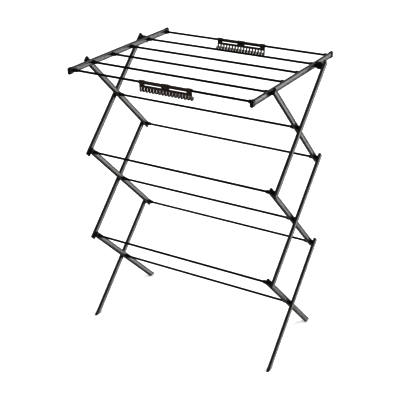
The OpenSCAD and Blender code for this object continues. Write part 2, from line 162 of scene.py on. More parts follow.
class EffectGroups:
    """Node groups that the finishes share, each built once."""

    def __init__(self) -> None:
        """Builds every group."""
        self.grain = self._grain()
        self.drift = self._drift()
        self.rub = self._rub()
        self.crown = self._crown()

    @staticmethod
    def _start(name: str, ins: dict[str, str], outs: dict[str, str]) -> tuple:
        """Makes an empty group with its sockets.

        Args:
            name: the group's name.
            ins: input names and socket types.
            outs: output names and socket types.

        Returns:
            The group, its bench, its input node and its output node.
        """
        group = bpy.data.node_groups.new(name, "ShaderNodeTree")
        bench = NodeBench(group)
        for label, kind in ins.items():
            group.interface.new_socket(name=label, in_out="INPUT", socket_type=kind)
        for label, kind in outs.items():
            group.interface.new_socket(name=label, in_out="OUTPUT", socket_type=kind)
        return group, bench, bench.add("NodeGroupInput"), bench.add("NodeGroupOutput")

    def _grain(self) -> bpy.types.NodeTree:
        """Fine surface grain: rounded peel cells with a finer tooth on them."""
        group, bench, ins, outs = self._start(
            "surface_grain",
            {"Vector": "NodeSocketVector", "Cells per metre": "NodeSocketFloat"},
            {"Height": "NodeSocketFloat"},
        )
        place, scale = ins.outputs["Vector"], ins.outputs["Cells per metre"]
        finer, tooth_share, softness = 2.7, 0.45, 0.6
        cells = bench.add(
            "ShaderNodeTexVoronoi",
            {"Vector": place, "Scale": scale, "Smoothness": softness},
            feature="SMOOTH_F1",
        )
        tooth = bench.noise(place, bench.maths("MULTIPLY", scale, finer), 3.0)
        height = bench.maths("MULTIPLY_ADD", tooth, tooth_share, cells.outputs["Distance"])
        bench.link(height, outs.inputs["Height"])
        return group

    def _drift(self) -> bpy.types.NodeTree:
        """Slow change of tone over a few centimetres, with a faint finer mottle."""
        group, bench, ins, outs = self._start(
            "tone_drift",
            {
                "Vector": "NodeSocketVector",
                "Cells per metre": "NodeSocketFloat",
                "Dark": "NodeSocketColor",
                "Light": "NodeSocketColor",
            },
            {"Color": "NodeSocketColor", "Patch": "NodeSocketFloat"},
        )
        mottle_cells, mottle_share = 420.0, 0.35
        slow = bench.noise(ins.outputs["Vector"], ins.outputs["Cells per metre"], 2.0)
        fine = bench.noise(ins.outputs["Vector"], mottle_cells, 2.0)
        blend = bench.add("ShaderNodeMix", {"Factor": mottle_share, "A": slow, "B": fine}, data_type="FLOAT")
        patch = bench.remap(blend.outputs["Result"], (0.3, 0.7))
        colour = bench.add(
            "ShaderNodeMix",
            {"Factor": patch, 6: ins.outputs["Dark"], 7: ins.outputs["Light"]},
            data_type="RGBA",
        )
        bench.link(colour.outputs[2], outs.inputs["Color"])
        bench.link(patch, outs.inputs["Patch"])
        return group

    def _rub(self) -> bpy.types.NodeTree:
        """Mask of handled edges: where a surface turns away from the rods' direction."""
        group, bench, ins, outs = self._start(
            "edge_rub",
            {"Vector": "NodeSocketVector", "Normal": "NodeSocketVector"},
            {"Mask": "NodeSocketFloat"},
        )
        parts = bench.add("ShaderNodeSeparateXYZ", {0: ins.outputs["Normal"]})
        edge = bench.remap(bench.maths("ABSOLUTE", parts.outputs["X"]), (0.75, 0.15))
        spots = bench.remap(bench.noise(ins.outputs["Vector"], 38.0, 4.0), (0.48, 0.66))
        bench.link(bench.maths("MULTIPLY", edge, spots), outs.inputs["Mask"])
        return group

    def _crown(self) -> bpy.types.NodeTree:
        """Normal of a tube whose flats are slightly crowned across their width."""
        group, bench, ins, outs = self._start(
            "tube_crown",
            {
                "Vector": "NodeSocketVector",
                "Normal": "NodeSocketVector",
                "Across": "NodeSocketVector",
                "Centre": "NodeSocketFloat",
                "Half width": "NodeSocketFloat",
                "Tilt": "NodeSocketFloat",
            },
            {"Normal": "NodeSocketVector"},
        )
        here, normal, across = (ins.outputs[name] for name in ("Vector", "Normal", "Across"))
        along = bench.add("ShaderNodeVectorMath", {0: here, 1: across}, operation="DOT_PRODUCT")
        off = bench.maths("SUBTRACT", along.outputs["Value"], ins.outputs["Centre"])
        share = bench.maths("DIVIDE", off, ins.outputs["Half width"])
        kept = bench.add("ShaderNodeClamp", {"Value": share, "Min": -1.0, "Max": 1.0})
        lean = bench.maths("MULTIPLY", kept.outputs[0], ins.outputs["Tilt"])
        parts = bench.add("ShaderNodeSeparateXYZ", {0: normal})
        flat = bench.remap(bench.maths("ABSOLUTE", parts.outputs["X"]), (0.7, 0.95))
        amount = bench.maths("MULTIPLY", lean, flat)
        push = bench.add("ShaderNodeVectorMath", {0: across, "Scale": amount}, operation="SCALE")
        leaned = bench.add("ShaderNodeVectorMath", {0: normal, 1: push.outputs[0]}, operation="ADD")
        world = bench.add(
            "ShaderNodeVectorTransform",
            {0: leaned.outputs[0]},
            vector_type="NORMAL",
            convert_from="OBJECT",
            convert_to="WORLD",
        )
        bench.link(world.outputs[0], outs.inputs["Normal"])
        return group


@dataclass(frozen=True)
class TubeLine:
    """Where a tube's middle line runs, for the crown of its flats.

    Attributes:
        across: unit vector across the flats.
        centre: the middle line's distance from the origin along it.
        half_width: half of the flats' width in metres.
        tilt: how far the flats turn away at their edges.
    """

    across: tuple[float, float, float]
    centre: float
    half_width: float = 0.0065
    tilt: float = 0.24


@dataclass(frozen=True)
class Finish:
    """One surface finish, from which a material is made.

    Attributes:
        name: the material's name.
        slot: the record's slot that it belongs to.
        dark: linear colour of the darker patches.
        light: linear colour of the lighter patches.
        drift_cells: patches per metre.
        grain_cells: grain cells per metre.
        grain_depth: height of the grain in metres.
        rough_low: roughness of the smoother patches.
        rough_high: roughness of the duller patches.
        rub_gloss: how much smoother the handled edges are.
        specular: specular level of the shader.
    """

    name: str
    slot: Slot
    dark: Colour
    light: Colour
    drift_cells: float
    grain_cells: float
    grain_depth: float
    rough_low: float
    rough_high: float
    rub_gloss: float = 0.0
    specular: float = 0.5

    def material(self, groups: EffectGroups, line: TubeLine | None = None) -> bpy.types.Material:
        """Builds the material.

        Args:
            groups: the shared node groups.
            line: the tube that it covers, or None where there is no crown.

        Returns:
            The new material.
        """
        made = bpy.data.materials.new(self.name)
        made.use_nodes = True
        bench = NodeBench(made.node_tree)
        place = bench.add("ShaderNodeTexCoord")
        here, normal = place.outputs["Object"], place.outputs["Normal"]
        drift = bench.add(
            "ShaderNodeGroup",
            {"Vector": here, "Cells per metre": self.drift_cells, "Dark": self.dark, "Light": self.light},
            node_tree=groups.drift,
        )
        rub = bench.add("ShaderNodeGroup", {"Vector": here, "Normal": normal}, node_tree=groups.rub)
        rough = bench.remap(drift.outputs["Patch"], target=(self.rough_low, self.rough_high))
        grain = bench.add(
            "ShaderNodeGroup",
            {"Vector": here, "Cells per metre": self.grain_cells},
            node_tree=groups.grain,
        )
        bump = bench.add("ShaderNodeBump", {"Height": grain.outputs["Height"], "Distance": self.grain_depth})
        if line is not None:
            crown = bench.add(
                "ShaderNodeGroup",
                {
                    "Vector": here,
                    "Normal": normal,
                    "Across": line.across,
                    "Centre": line.centre,
                    "Half width": line.half_width,
                    "Tilt": line.tilt,
                },
                node_tree=groups.crown,
            )
            bench.link(crown.outputs["Normal"], bump.inputs["Normal"])
        surface = bench.add(
            "ShaderNodeBsdfPrincipled",
            {
                "Base Color": drift.outputs["Color"],
                "Roughness": bench.maths("MULTIPLY_ADD", rub.outputs["Mask"], -self.rub_gloss, rough),
                "Specular IOR Level": self.specular,
                "Normal": bump.outputs["Normal"],
            },
        )
        bench.add("ShaderNodeOutputMaterial", {"Surface": surface.outputs["BSDF"]})
        return made


POWDER_COAT = Finish(
    name="powder_coat",
    slot=Slot.TUBE,
    dark=(0.026, 0.025, 0.0245, 1.0),
    light=(0.060, 0.056, 0.053, 1.0),
    drift_cells=26.0,
    grain_cells=1500.0,
    grain_depth=0.00005,
    rough_low=0.24,
    rough_high=0.34,
    rub_gloss=0.06,
)
ROD_ENAMEL = Finish(
    name="rod_enamel",
    slot=Slot.ROD,
    dark=(0.004, 0.004, 0.0042, 1.0),
    light=(0.009, 0.009, 0.0095, 1.0),
    drift_cells=34.0,
    grain_cells=1100.0,
    grain_depth=0.00002,
    rough_low=0.32,
    rough_high=0.44,
    specular=0.1,
)
MOULDED_BLACK = Finish(
    name="moulded_black",
    slot=Slot.MOULDING,
    dark=(0.008, 0.008, 0.0085, 1.0),
    light=(0.02, 0.02, 0.021, 1.0),
    drift_cells=60.0,
    grain_cells=2600.0,
    grain_depth=0.00003,
    rough_low=0.38,
    rough_high=0.52,
    specular=0.35,
)
COMB_BLACK = Finish(
    name="comb_black",
    slot=Slot.COMB,
    dark=(0.030, 0.020, 0.015, 1.0),
    light=(0.065, 0.045, 0.037, 1.0),
    drift_cells=45.0,
    grain_cells=1800.0,
    grain_depth=0.00002,
    rough_low=0.24,
    rough_high=0.36,
)


# ---------------------------------------------------------------- the studio


@dataclass(frozen=True)
class ViewPoint:
    """Where the camera stands and how it looks.

    Attributes:
        aim: the point that it looks at.
        azimuth: degrees round from the front, towards +X.
        elevation: degrees above the horizon.
        roll: degrees of turn about the line of sight.
        distance: metres from the aim.
        lens: focal length in millimetres on a 36 mm sensor.
    """

    aim: tuple[float, float, float] = (-0.013, -0.009, 0.516)
    azimuth: float = 30.06
    elevation: float = 25.08
    roll: float = -0.17
    distance: float = 3.358
    lens: float = 80.2

    def build(self) -> bpy.types.Object:
        """Makes the camera and gives it to the scene.

        Returns:
            The camera.
        """
        turn, rise = math.radians(self.azimuth), math.radians(self.elevation)
        back = Vector(
            (math.sin(turn) * math.cos(rise), -math.cos(turn) * math.cos(rise), math.sin(rise))
        )
        data = bpy.data.cameras.new("camera")
        data.lens = self.lens
        data.sensor_width = 36.0
        data.clip_end = 200.0
        camera = bpy.data.objects.new("camera", data)
        bpy.context.scene.collection.objects.link(camera)
        look = (-back).to_track_quat("-Z", "Y").to_matrix().to_4x4()
        roll = Matrix.Rotation(math.radians(self.roll), 4, "Z")
        camera.matrix_world = Matrix.Translation(Vector(self.aim) + back * self.distance) @ look @ roll
        bpy.context.scene.camera = camera
        return camera


@dataclass
class Studio:
    """Pale floor, soft light and the camera.

    Attributes:
        floor_side: side of the floor in metres.
        floor_tone: the floor's linear grey.
        floor_glow: light that the floor throws on the object.
        seen_glow: light that the floor adds to its own look.
        backdrop: brightness of the room where the camera sees it.
        ambient: brightness of the room as the object sees it.
        panel: brightness of the tall panel that the object mirrors.
        sun_power: strength of the wide overhead light.
        sun_angle: its angular size in degrees.
        contrast: display gamma, below 1 for a crisper print.
    """

    floor_side: float = 160.0
    floor_tone: float = 0.8
    floor_glow: float = 0.3
    seen_glow: float = 0.12
    backdrop: float = 1.1
    ambient: float = 1.0
    panel: float = 8.5
    sun_power: float = 0.8
    sun_angle: float = 70.0
    contrast: float = 0.5

    def floor(self) -> bpy.types.Object:
        """Makes the floor.

        Returns:
            The floor.
        """
        deselect_all()
        bpy.ops.mesh.primitive_plane_add(size=self.floor_side, location=(0.0, 0.0, 0.0))
        floor = bpy.context.object
        floor.name = "studio_floor"
        material = bpy.data.materials.new("studio_floor")
        material.use_nodes = True
        bench = NodeBench(material.node_tree)
        path = bench.add("ShaderNodeLightPath")
        glow = bench.remap(path.outputs["Is Camera Ray"], target=(self.floor_glow, self.seen_glow))
        tone = self.floor_tone
        surface = bench.add(
            "ShaderNodeBsdfPrincipled",
            {
                "Base Color": (tone, tone, tone, 1.0),
                "Roughness": 0.9,
                "Specular IOR Level": 0.1,
                "Emission Color": WHITE,
                "Emission Strength": glow,
            },
        )
        bench.add("ShaderNodeOutputMaterial", {"Surface": surface.outputs["BSDF"]})
        floor.data.materials.append(material)
        floor.visible_glossy = False
        return floor

    def mirrored(self, bench: NodeBench) -> bpy.types.NodeSocket:
        """Draws what the object mirrors: an even room with one tall panel, right and to the rear.

        Args:
            bench: the world's bench.

        Returns:
            The brightness.
        """
        place = bench.add("ShaderNodeTexCoord")
        parts = bench.add("ShaderNodeSeparateXYZ", {0: place.outputs["Generated"]})
        borders = (
            ("X", 0.35, 0.52),
            ("X", 0.85, 0.70),
            ("Y", 0.0, 0.2),
            ("Z", -0.68, -0.50),
            ("Z", 0.75, 0.50),
        )
        inside = 1.0
        for axis, dark_from, bright_from in borders:
            step = bench.remap(parts.outputs[axis], (dark_from, bright_from), curve="SMOOTHSTEP")
            inside = bench.maths("MULTIPLY", step, inside)
        return bench.remap(inside, target=(self.ambient, self.panel))

    def room(self) -> None:
        """Lights the room: plain where it is seen, with the panel where it is reflected."""
        world = bpy.data.worlds.new("studio")
        world.use_nodes = True
        bench = NodeBench(world.node_tree)
        seen = bench.add("ShaderNodeBackground", {"Color": WHITE, "Strength": self.backdrop})
        around = bench.add("ShaderNodeBackground", {"Color": WHITE, "Strength": self.mirrored(bench)})
        path = bench.add("ShaderNodeLightPath")
        either = bench.add(
            "ShaderNodeMixShader",
            {
                0: path.outputs["Is Camera Ray"],
                1: around.outputs["Background"],
                2: seen.outputs["Background"],
            },
        )
        bench.add("ShaderNodeOutputWorld", {"Surface": either.outputs["Shader"]})
        bpy.context.scene.world = world
        bpy.context.scene.view_settings.view_transform = "Standard"
        bpy.context.scene.view_settings.gamma = self.contrast

    def lights(self) -> None:
        """Hangs the wide overhead light."""
        data = bpy.data.lights.new("overhead", "SUN")
        data.energy = self.sun_power
        data.angle = math.radians(self.sun_angle)
        lamp = bpy.data.objects.new("overhead", data)
        lamp.visible_glossy = False
        bpy.context.scene.collection.objects.link(lamp)
        towards = Vector((-0.25, -0.35, 1.0)).normalized()
        lamp.matrix_world = towards.to_track_quat("Z", "Y").to_matrix().to_4x4()

    def build(self) -> None:
        """Sets up the whole studio."""
        self.floor()
        self.room()
        self.lights()
        ViewPoint().build()
        LOG.info("studio: floor, room, overhead light and camera")


# ---------------------------------------------------------------- modelling


def deselect_all() -> None:
    """Leaves nothing selected and nothing active."""
    if bpy.context.object is not None and bpy.context.object.mode != "OBJECT":
        bpy.ops.object.mode_set(mode="OBJECT")
    bpy.ops.object.select_all(action="DESELECT")
    bpy.context.view_layer.objects.active = None


def activate(piece: bpy.types.Object) -> None:
    """Selects one piece alone and makes it the active one."""
    deselect_all()
    piece.select_set(True)
    bpy.context.view_layer.objects.active = piece


def settle() -> None:
    """Applies the active piece's place, turn and size to its mesh."""
    bpy.ops.object.transform_apply(location=True, rotation=True, scale=True)


def shift(step: Step) -> None:
    """Moves the selection by a step in metres."""
    bpy.ops.transform.translate(value=step)


def extrude(step: Step) -> None:
    """Extrudes the selection by a step in metres."""
    bpy.ops.mesh.extrude_region_move(TRANSFORM_OT_translate={"value": step})


def dress(piece: bpy.types.Object, material: bpy.types.Material) -> None:
    """Gives a piece one material all over.

    Args:
        piece: a mesh object.
        material: its material.
    """
    piece.data.materials.clear()
    piece.data.materials.append(material)


def begin_edit(piece: bpy.types.Object) -> None:
    """Opens a piece in edit mode with everything selected."""
    activate(piece)
    bpy.ops.object.mode_set(mode="EDIT")
    bpy.ops.mesh.select_all(action="SELECT")


def select_faces(piece: bpy.types.Object, test: Callable[[Vector, Vector], bool]) -> None:
    """Selects the faces that pass a test, in edit mode.

    Args:
        piece: the piece that is open in edit mode.
        test: says yes or no to a face's centre and normal.
    """
    bpy.ops.mesh.select_mode(type="FACE")
    bpy.ops.mesh.select_all(action="DESELECT")
    shape = bmesh.from_edit_mesh(piece.data)
    for face in shape.faces:
        face.select_set(test(face.calc_center_median(), face.normal))
    bmesh.update_edit_mesh(piece.data)


def select_points(piece: bpy.types.Object, test: Callable[[Vector], bool]) -> None:
    """Selects the points that pass a test, in edit mode.

    Args:
        piece: the piece that is open in edit mode.
        test: says yes or no to a point's place.
    """
    bpy.ops.mesh.select_mode(type="VERT")
    bpy.ops.mesh.select_all(action="DESELECT")
    shape = bmesh.from_edit_mesh(piece.data)
    for point in shape.verts:
        point.select_set(test(point.co))
    shape.select_flush(True)
    bmesh.update_edit_mesh(piece.data)


def close_edit() -> None:
    """Turns the normals outward and leaves edit mode."""
    bpy.ops.mesh.select_mode(type="VERT")
    bpy.ops.mesh.select_all(action="SELECT")
    bpy.ops.mesh.normals_make_consistent(inside=False)
    bpy.ops.object.mode_set(mode="OBJECT")


def apply_bevel(piece: bpy.types.Object, width: float, segments: int = 2) -> None:
    """Rounds a piece's sharp edges.

    Args:
        piece: the piece.
        width: width of the rounding in metres.
        segments: faces across the rounding.
    """
    activate(piece)
    bevel = piece.modifiers.new("edges", "BEVEL")
    bevel.width = width
    bevel.segments = segments
    bevel.angle_limit = SHARP_EDGE
    bpy.ops.object.modifier_apply(modifier=bevel.name)


def smooth(piece: bpy.types.Object) -> None:
    """Shades a piece smooth, but for its sharp edges."""
    activate(piece)
    bpy.ops.object.shade_smooth_by_angle(angle=SMOOTH_EDGE)


def thicken(piece: bpy.types.Object, wall: float, even: bool = False) -> None:
    """Gives a sheet its thickness, half to each side.

    Args:
        piece: the sheet.
        wall: its thickness in metres.
        even: keeps the thickness even round bends.
    """
    thick = piece.modifiers.new("wall", "SOLIDIFY")
    thick.thickness = wall
    thick.offset = 0.0
    thick.use_even_offset = even
    bpy.ops.object.modifier_apply(modifier=thick.name)


def join(name: str, parts: list[bpy.types.Object]) -> bpy.types.Object:
    """Joins parts into one object.

    Args:
        name: the joined object's name.
        parts: the parts, which lie where they belong.

    Returns:
        The joined object.
    """
    deselect_all()
    for part in parts:
        part.select_set(True)
    bpy.context.view_layer.objects.active = parts[0]
    if len(parts) > 1:
        bpy.ops.object.join()
    whole = bpy.context.view_layer.objects.active
    whole.name = name
    return whole


def copies(name: str, pattern: bpy.types.Object, places: list[Matrix]) -> bpy.types.Object:
    """Puts a copy of a pattern at every place and joins them.

    Args:
        name: the joined object's name.
        pattern: the shape that is copied; it is removed afterwards.
        places: where each copy goes.

    Returns:
        The joined object, at the origin.
    """
    made = []
    for place in places:
        shape = pattern.data.copy()
        shape.transform(place)
        if place.determinant() < 0.0:
            shape.flip_normals()
        twin = bpy.data.objects.new(name, shape)
        bpy.context.scene.collection.objects.link(twin)
        made.append(twin)
    bpy.data.objects.remove(pattern, do_unlink=True)
    return join(name, made)


def hoop(radius: float, around: int) -> bpy.types.Object:
    """Makes a circle of edges about the X axis, at the origin.

    Args:
        radius: its radius in millimetres.
        around: points round it.

    Returns:
        The circle.
    """
    deselect_all()
    bpy.ops.mesh.primitive_circle_add(
        vertices=around, radius=radius * MM, location=(0.0, 0.0, 0.0), rotation=(0.0, QUARTER_TURN, 0.0)
    )
    settle()
    return bpy.context.object


def ring(name: str, outline: list[tuple[float, float]]) -> bpy.types.Object:
    """Turns a closed outline about the X axis.

    Args:
        name: the object's name.
        outline: (along, radius) pairs in millimetres, in order round the section.

    Returns:
        The turned ring.
    """
    along, radius = outline[0]
    piece = hoop(radius, ROUND_POINTS)
    piece.name = name
    begin_edit(piece)
    shift((along * MM, 0.0, 0.0))
    for next_along, next_radius in outline[1:] + outline[:1]:
        step = ((next_along - along) * MM, 0.0, 0.0)
        extrude(step)
        ratio = next_radius / radius
        bpy.ops.transform.resize(
            value=(1.0, ratio, ratio), center_override=(next_along * MM, 0.0, 0.0)
        )
        along, radius = next_along, next_radius
    bpy.ops.mesh.select_all(action="SELECT")
    bpy.ops.mesh.remove_doubles(threshold=0.00001)
    close_edit()
    return piece


def oval_plate(name: str, width: float, thickness: float) -> bpy.types.Object:
    """Makes a flat-oval face at the origin, wide along Y and facing +Z.

    Args:
        name: the object's name.
        width: its length along Y in metres.
        thickness: its length along X in metres.

    Returns:
        The filled oval.
    """
    deselect_all()
    bpy.ops.mesh.primitive_circle_add(
        vertices=ROUND_POINTS,
        radius=thickness / 2.0,
        fill_type="NGON",
        location=(0.0, 0.0, 0.0),
        rotation=(0.0, 0.0, math.pi / ROUND_POINTS),
    )
    piece = bpy.context.object
    piece.name = name
    settle()
    begin_edit(piece)
    for side in (-1.0, 1.0):
        select_points(piece, lambda p, s=side: p.y * s > 0.0)
        shift((0.0, side * (width - thickness) / 2.0, 0.0))
    bpy.ops.object.mode_set(mode="OBJECT")
    return piece


def terrace(steps: list[tuple[float, float]]) -> None:
    """Insets the selected face again and again.

    Args:
        steps: (inset, rise) pairs in millimetres.
    """
    for inward, rise in steps:
        bpy.ops.mesh.inset(thickness=inward * MM, depth=rise * MM, use_even_offset=True)


# ---------------------------------------------------------------- the rack's plan


@dataclass(frozen=True)
class RackPlan:
    """The rack's driving sizes in metres, as the CAD has them.

    Attributes:
        pitch: distance between neighbouring pivots along an arm.
        lean: angle of an arm above the floor, in radians.
        reach: distance along a leg from its crossing to the floor.
        inner: inner face of the inner arm on the right.
        tube_w: width of the flat-oval tube.
        tube_t: its thickness along X.
        layer_gap: gap between the inner and the outer arm.
        overhang: arm length beyond its end pivot.
        rail_gap: gap between a rail and the inner arm.
        front_reach: distance from the hinge rod to the front tray rod.
        rear_reach: distance from the hooked rod to the rear tray rod.
        rail_end: rail length beyond its last rod.
        rod_r: radius of the rods.
    """

    pitch: float = 0.249
    lean: float = math.radians(44.1)
    reach: float = 0.2627
    inner: float = 0.3615
    tube_w: float = 0.022
    tube_t: float = 0.010
    layer_gap: float = 0.0066
    overhang: float = 0.014
    rail_gap: float = 0.0074
    front_reach: float = 0.1105
    rear_reach: float = 0.1267
    rail_end: float = 0.020
    rod_r: float = 0.0035

    @property
    def cross_y(self) -> float:
        """Y of the crossing pivots."""
        return (self.front_reach - self.rear_reach) / 2.0

    @property
    def half_d(self) -> float:
        """Half of a stage's depth."""
        return self.pitch * math.cos(self.lean)

    @property
    def half_h(self) -> float:
        """Half of a stage's height."""
        return self.pitch * math.sin(self.lean)

    def pivot(self, side: int, level: int) -> tuple[float, float]:
        """Finds a pivot.

        Args:
            side: -1 front, 0 crossing, 1 rear.
            level: half stages above the legs' crossing.

        Returns:
            Its Y and Z.
        """
        cross_z = self.reach * math.sin(self.lean)
        return self.cross_y + side * self.half_d, cross_z + level * self.half_h

    @property
    def outer(self) -> float:
        """Inner face of the outer arm on the right."""
        return self.inner + self.tube_t + self.layer_gap

    @property
    def rail(self) -> float:
        """Inner face of the tray rail on the right."""
        return self.inner - self.rail_gap - self.tube_t

    @property
    def arm_end(self) -> float:
        """Distance from an arm's middle pivot to its tube's end."""
        return self.pitch + self.overhang

    @property
    def tray_z(self) -> float:
        """Height of the tray's rods."""
        return self.pivot(-1, 5)[1]

    @property
    def tray_rods(self) -> list[float]:
        """Y of the tray rods from rear to front."""
        hinge, rest = self.pivot(-1, 5)[0], self.pivot(1, 5)[0]
        step = (rest - hinge) / 3.0
        return [
            rest + self.rear_reach,
            rest,
            rest - step,
            hinge + step,
            hinge,
            hinge - self.front_reach,
        ]


PLAN = RackPlan()
LEG_CROSS = (0, 0)
LOW_FRONT = (-1, 1)
LOW_REAR = (1, 1)
MID_CROSS = (0, 2)
HIGH_FRONT = (-1, 3)
HIGH_REAR = (1, 3)
TOP_CROSS = (0, 4)
HINGE = (-1, 5)


def on_both_sides(places: list[Matrix]) -> list[Matrix]:
    """Adds the mirror image of every place.

    Args:
        places: places on the right-hand side.

    Returns:
        Places on both sides.
    """
    mirror = Matrix.Scale(-1.0, 4, Vector((1.0, 0.0, 0.0)))
    return places + [mirror @ place for place in places]


def finish_piece(
    piece: bpy.types.Object, body: str, nodes: tuple[str, ...], slot: Slot, finishes: "Finishes"
) -> bpy.types.Object:
    """Shades and dresses a new piece, hangs it on its body and hides the CAD nodes that it stands for.

    Args:
        piece: the piece.
        body: the body that it rides on.
        nodes: the CAD nodes that it stands for.
        slot: its material slot.
        finishes: the rack's materials.

    Returns:
        The piece.
    """
    smooth(piece)
    dress(piece, finishes.materials[slot])
    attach(piece, body)
    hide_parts(*nodes)
    LOG.info("%s: %d faces on %s", piece.name, len(piece.data.polygons), body)
    return piece


@dataclass
class Finishes:
    """The rack's materials, one for each record slot."""

    groups: EffectGroups
    materials: dict[Slot, bpy.types.Material]

    @classmethod
    def build(cls) -> "Finishes":
        """Makes every material.

        Returns:
            The set of materials.
        """
        groups = EffectGroups()
        finishes = (POWDER_COAT, ROD_ENAMEL, MOULDED_BLACK, COMB_BLACK)
        return cls(groups, {f.slot: f.material(groups) for f in finishes})

    def tube(self, name: str, line: TubeLine) -> bpy.types.Material:
        """Makes the powder coat of one tube, its flats crowned.

        Args:
            name: the tube's name.
            line: its middle line.

        Returns:
            The material.
        """
        made = POWDER_COAT.material(self.groups, line)
        made.name = f"{POWDER_COAT.name}_{name}"
        return made


# ---------------------------------------------------------------- small hardware


@dataclass(frozen=True)
class PivotHardware:
    """Ferrules and spacer rings at the pivots.

    Attributes:
        finishes: the rack's materials.
        sleeve: length of a ferrule's sleeve in millimetres.
        bore: radius of the rod's hole in millimetres.
        neck: length of a ferrule's neck in an arm, in millimetres.
        rail_neck: the same in a tray rail.
        spacer_length: length of a spacer ring between two arms, in millimetres.
        rail_spacer_length: the same between a rail and an arm.
        gap: clearance between a spacer and the tube beside it, in millimetres.
    """

    finishes: Finishes
    sleeve: float = 16.0
    bore: float = PLAN.rod_r / MM + 0.02
    neck: float = 9.98
    rail_neck: float = 8.1
    spacer_length: float = 6.23
    rail_spacer_length: float = 7.03
    gap: float = 0.02

    def ferrule(self, sleeve: float, neck: float) -> bpy.types.Object:
        """Models one ferrule whose collar stands at x = 0 and whose sleeve runs to -X.

        Args:
            sleeve: length of the sleeve in millimetres.
            neck: length of the neck in the tube in millimetres.

        Returns:
            The ferrule.
        """
        mouth = -sleeve
        outline = [
            (mouth + 1.2, self.bore),
            (mouth + 0.2, 4.2),
            (mouth, 4.4),
            (mouth, 5.0),
            (mouth + 0.3, 5.5),
            (mouth + 0.9, 5.8),
            (mouth + 4.6, 6.0),
            (mouth + 5.0, 5.5),
            (mouth + 5.7, 5.5),
            (mouth + 6.1, 6.1),
            (-3.4, 6.4),
            (-3.0, 6.9),
            (-2.6, 7.1),
            (-0.5, 7.1),
            (-0.1, 6.8),
            (-0.1, 4.99),
            (neck - 0.4, 4.99),
            (neck, 4.6),
            (neck, self.bore),
        ]
        return ring("ferrule", outline)

    def spacer(self, length: float) -> bpy.types.Object:
        """Models one spacer ring from x = 0 to its length.

        Args:
            length: length in millimetres.

        Returns:
            The spacer.
        """
        middle = length / 2.0
        outline = [
            (0.0, self.bore),
            (0.0, 6.7),
            (0.25, 7.25),
            (0.8, 7.6),
            (middle - 0.7, 7.6),
            (middle - 0.4, 7.1),
            (middle + 0.4, 7.1),
            (middle + 0.7, 7.6),
            (length - 0.8, 7.6),
            (length - 0.25, 7.25),
            (length, 6.7),
            (length, self.bore),
        ]
        return ring("spacer", outline)

    def build(self) -> None:
        """Makes every ferrule and spacer, one object for each CAD node."""
        rows = (
            ("leg", "rear_leg_frame", (LEG_CROSS, LOW_FRONT)),
            ("mid", "mid_inner_frame", (LOW_REAR, MID_CROSS, HIGH_FRONT)),
            ("top", "top_inner_frame", (HIGH_REAR, TOP_CROSS)),
        )
        for stage, body, pivots in rows:
            points = [PLAN.pivot(*p) for p in pivots]
            places = [Matrix.Translation((PLAN.inner, y, z)) for y, z in points]
            node = f"{stage}_ferrules"
            piece = copies(f"{node}_turned", self.ferrule(self.sleeve, self.neck), on_both_sides(places))
            finish_piece(piece, body, (node,), Slot.MOULDING, self.finishes)
            start = PLAN.inner + PLAN.tube_t + self.gap * MM
            places = [Matrix.Translation((start, y, z)) for y, z in points]
            node = f"{stage}_spacers"
            piece = copies(f"{node}_turned", self.spacer(self.spacer_length), on_both_sides(places))
            finish_piece(piece, body, (node,), Slot.MOULDING, self.finishes)
        places = [Matrix.Translation((PLAN.rail, y, PLAN.tray_z)) for y in PLAN.tray_rods]
        pattern = self.ferrule(self.sleeve - 1.0, self.rail_neck)
        piece = copies("tray_ferrules_turned", pattern, on_both_sides(places))
        finish_piece(piece, "tray", ("tray_ferrules",), Slot.MOULDING, self.finishes)
        y, z = PLAN.pivot(*HINGE)
        places = [Matrix.Translation((PLAN.rail + PLAN.tube_t + self.gap * MM, y, z))]
        piece = copies("tray_spacers_turned", self.spacer(self.rail_spacer_length), on_both_sides(places))
        finish_piece(piece, "tray", ("tray_spacers",), Slot.MOULDING, self.finishes)


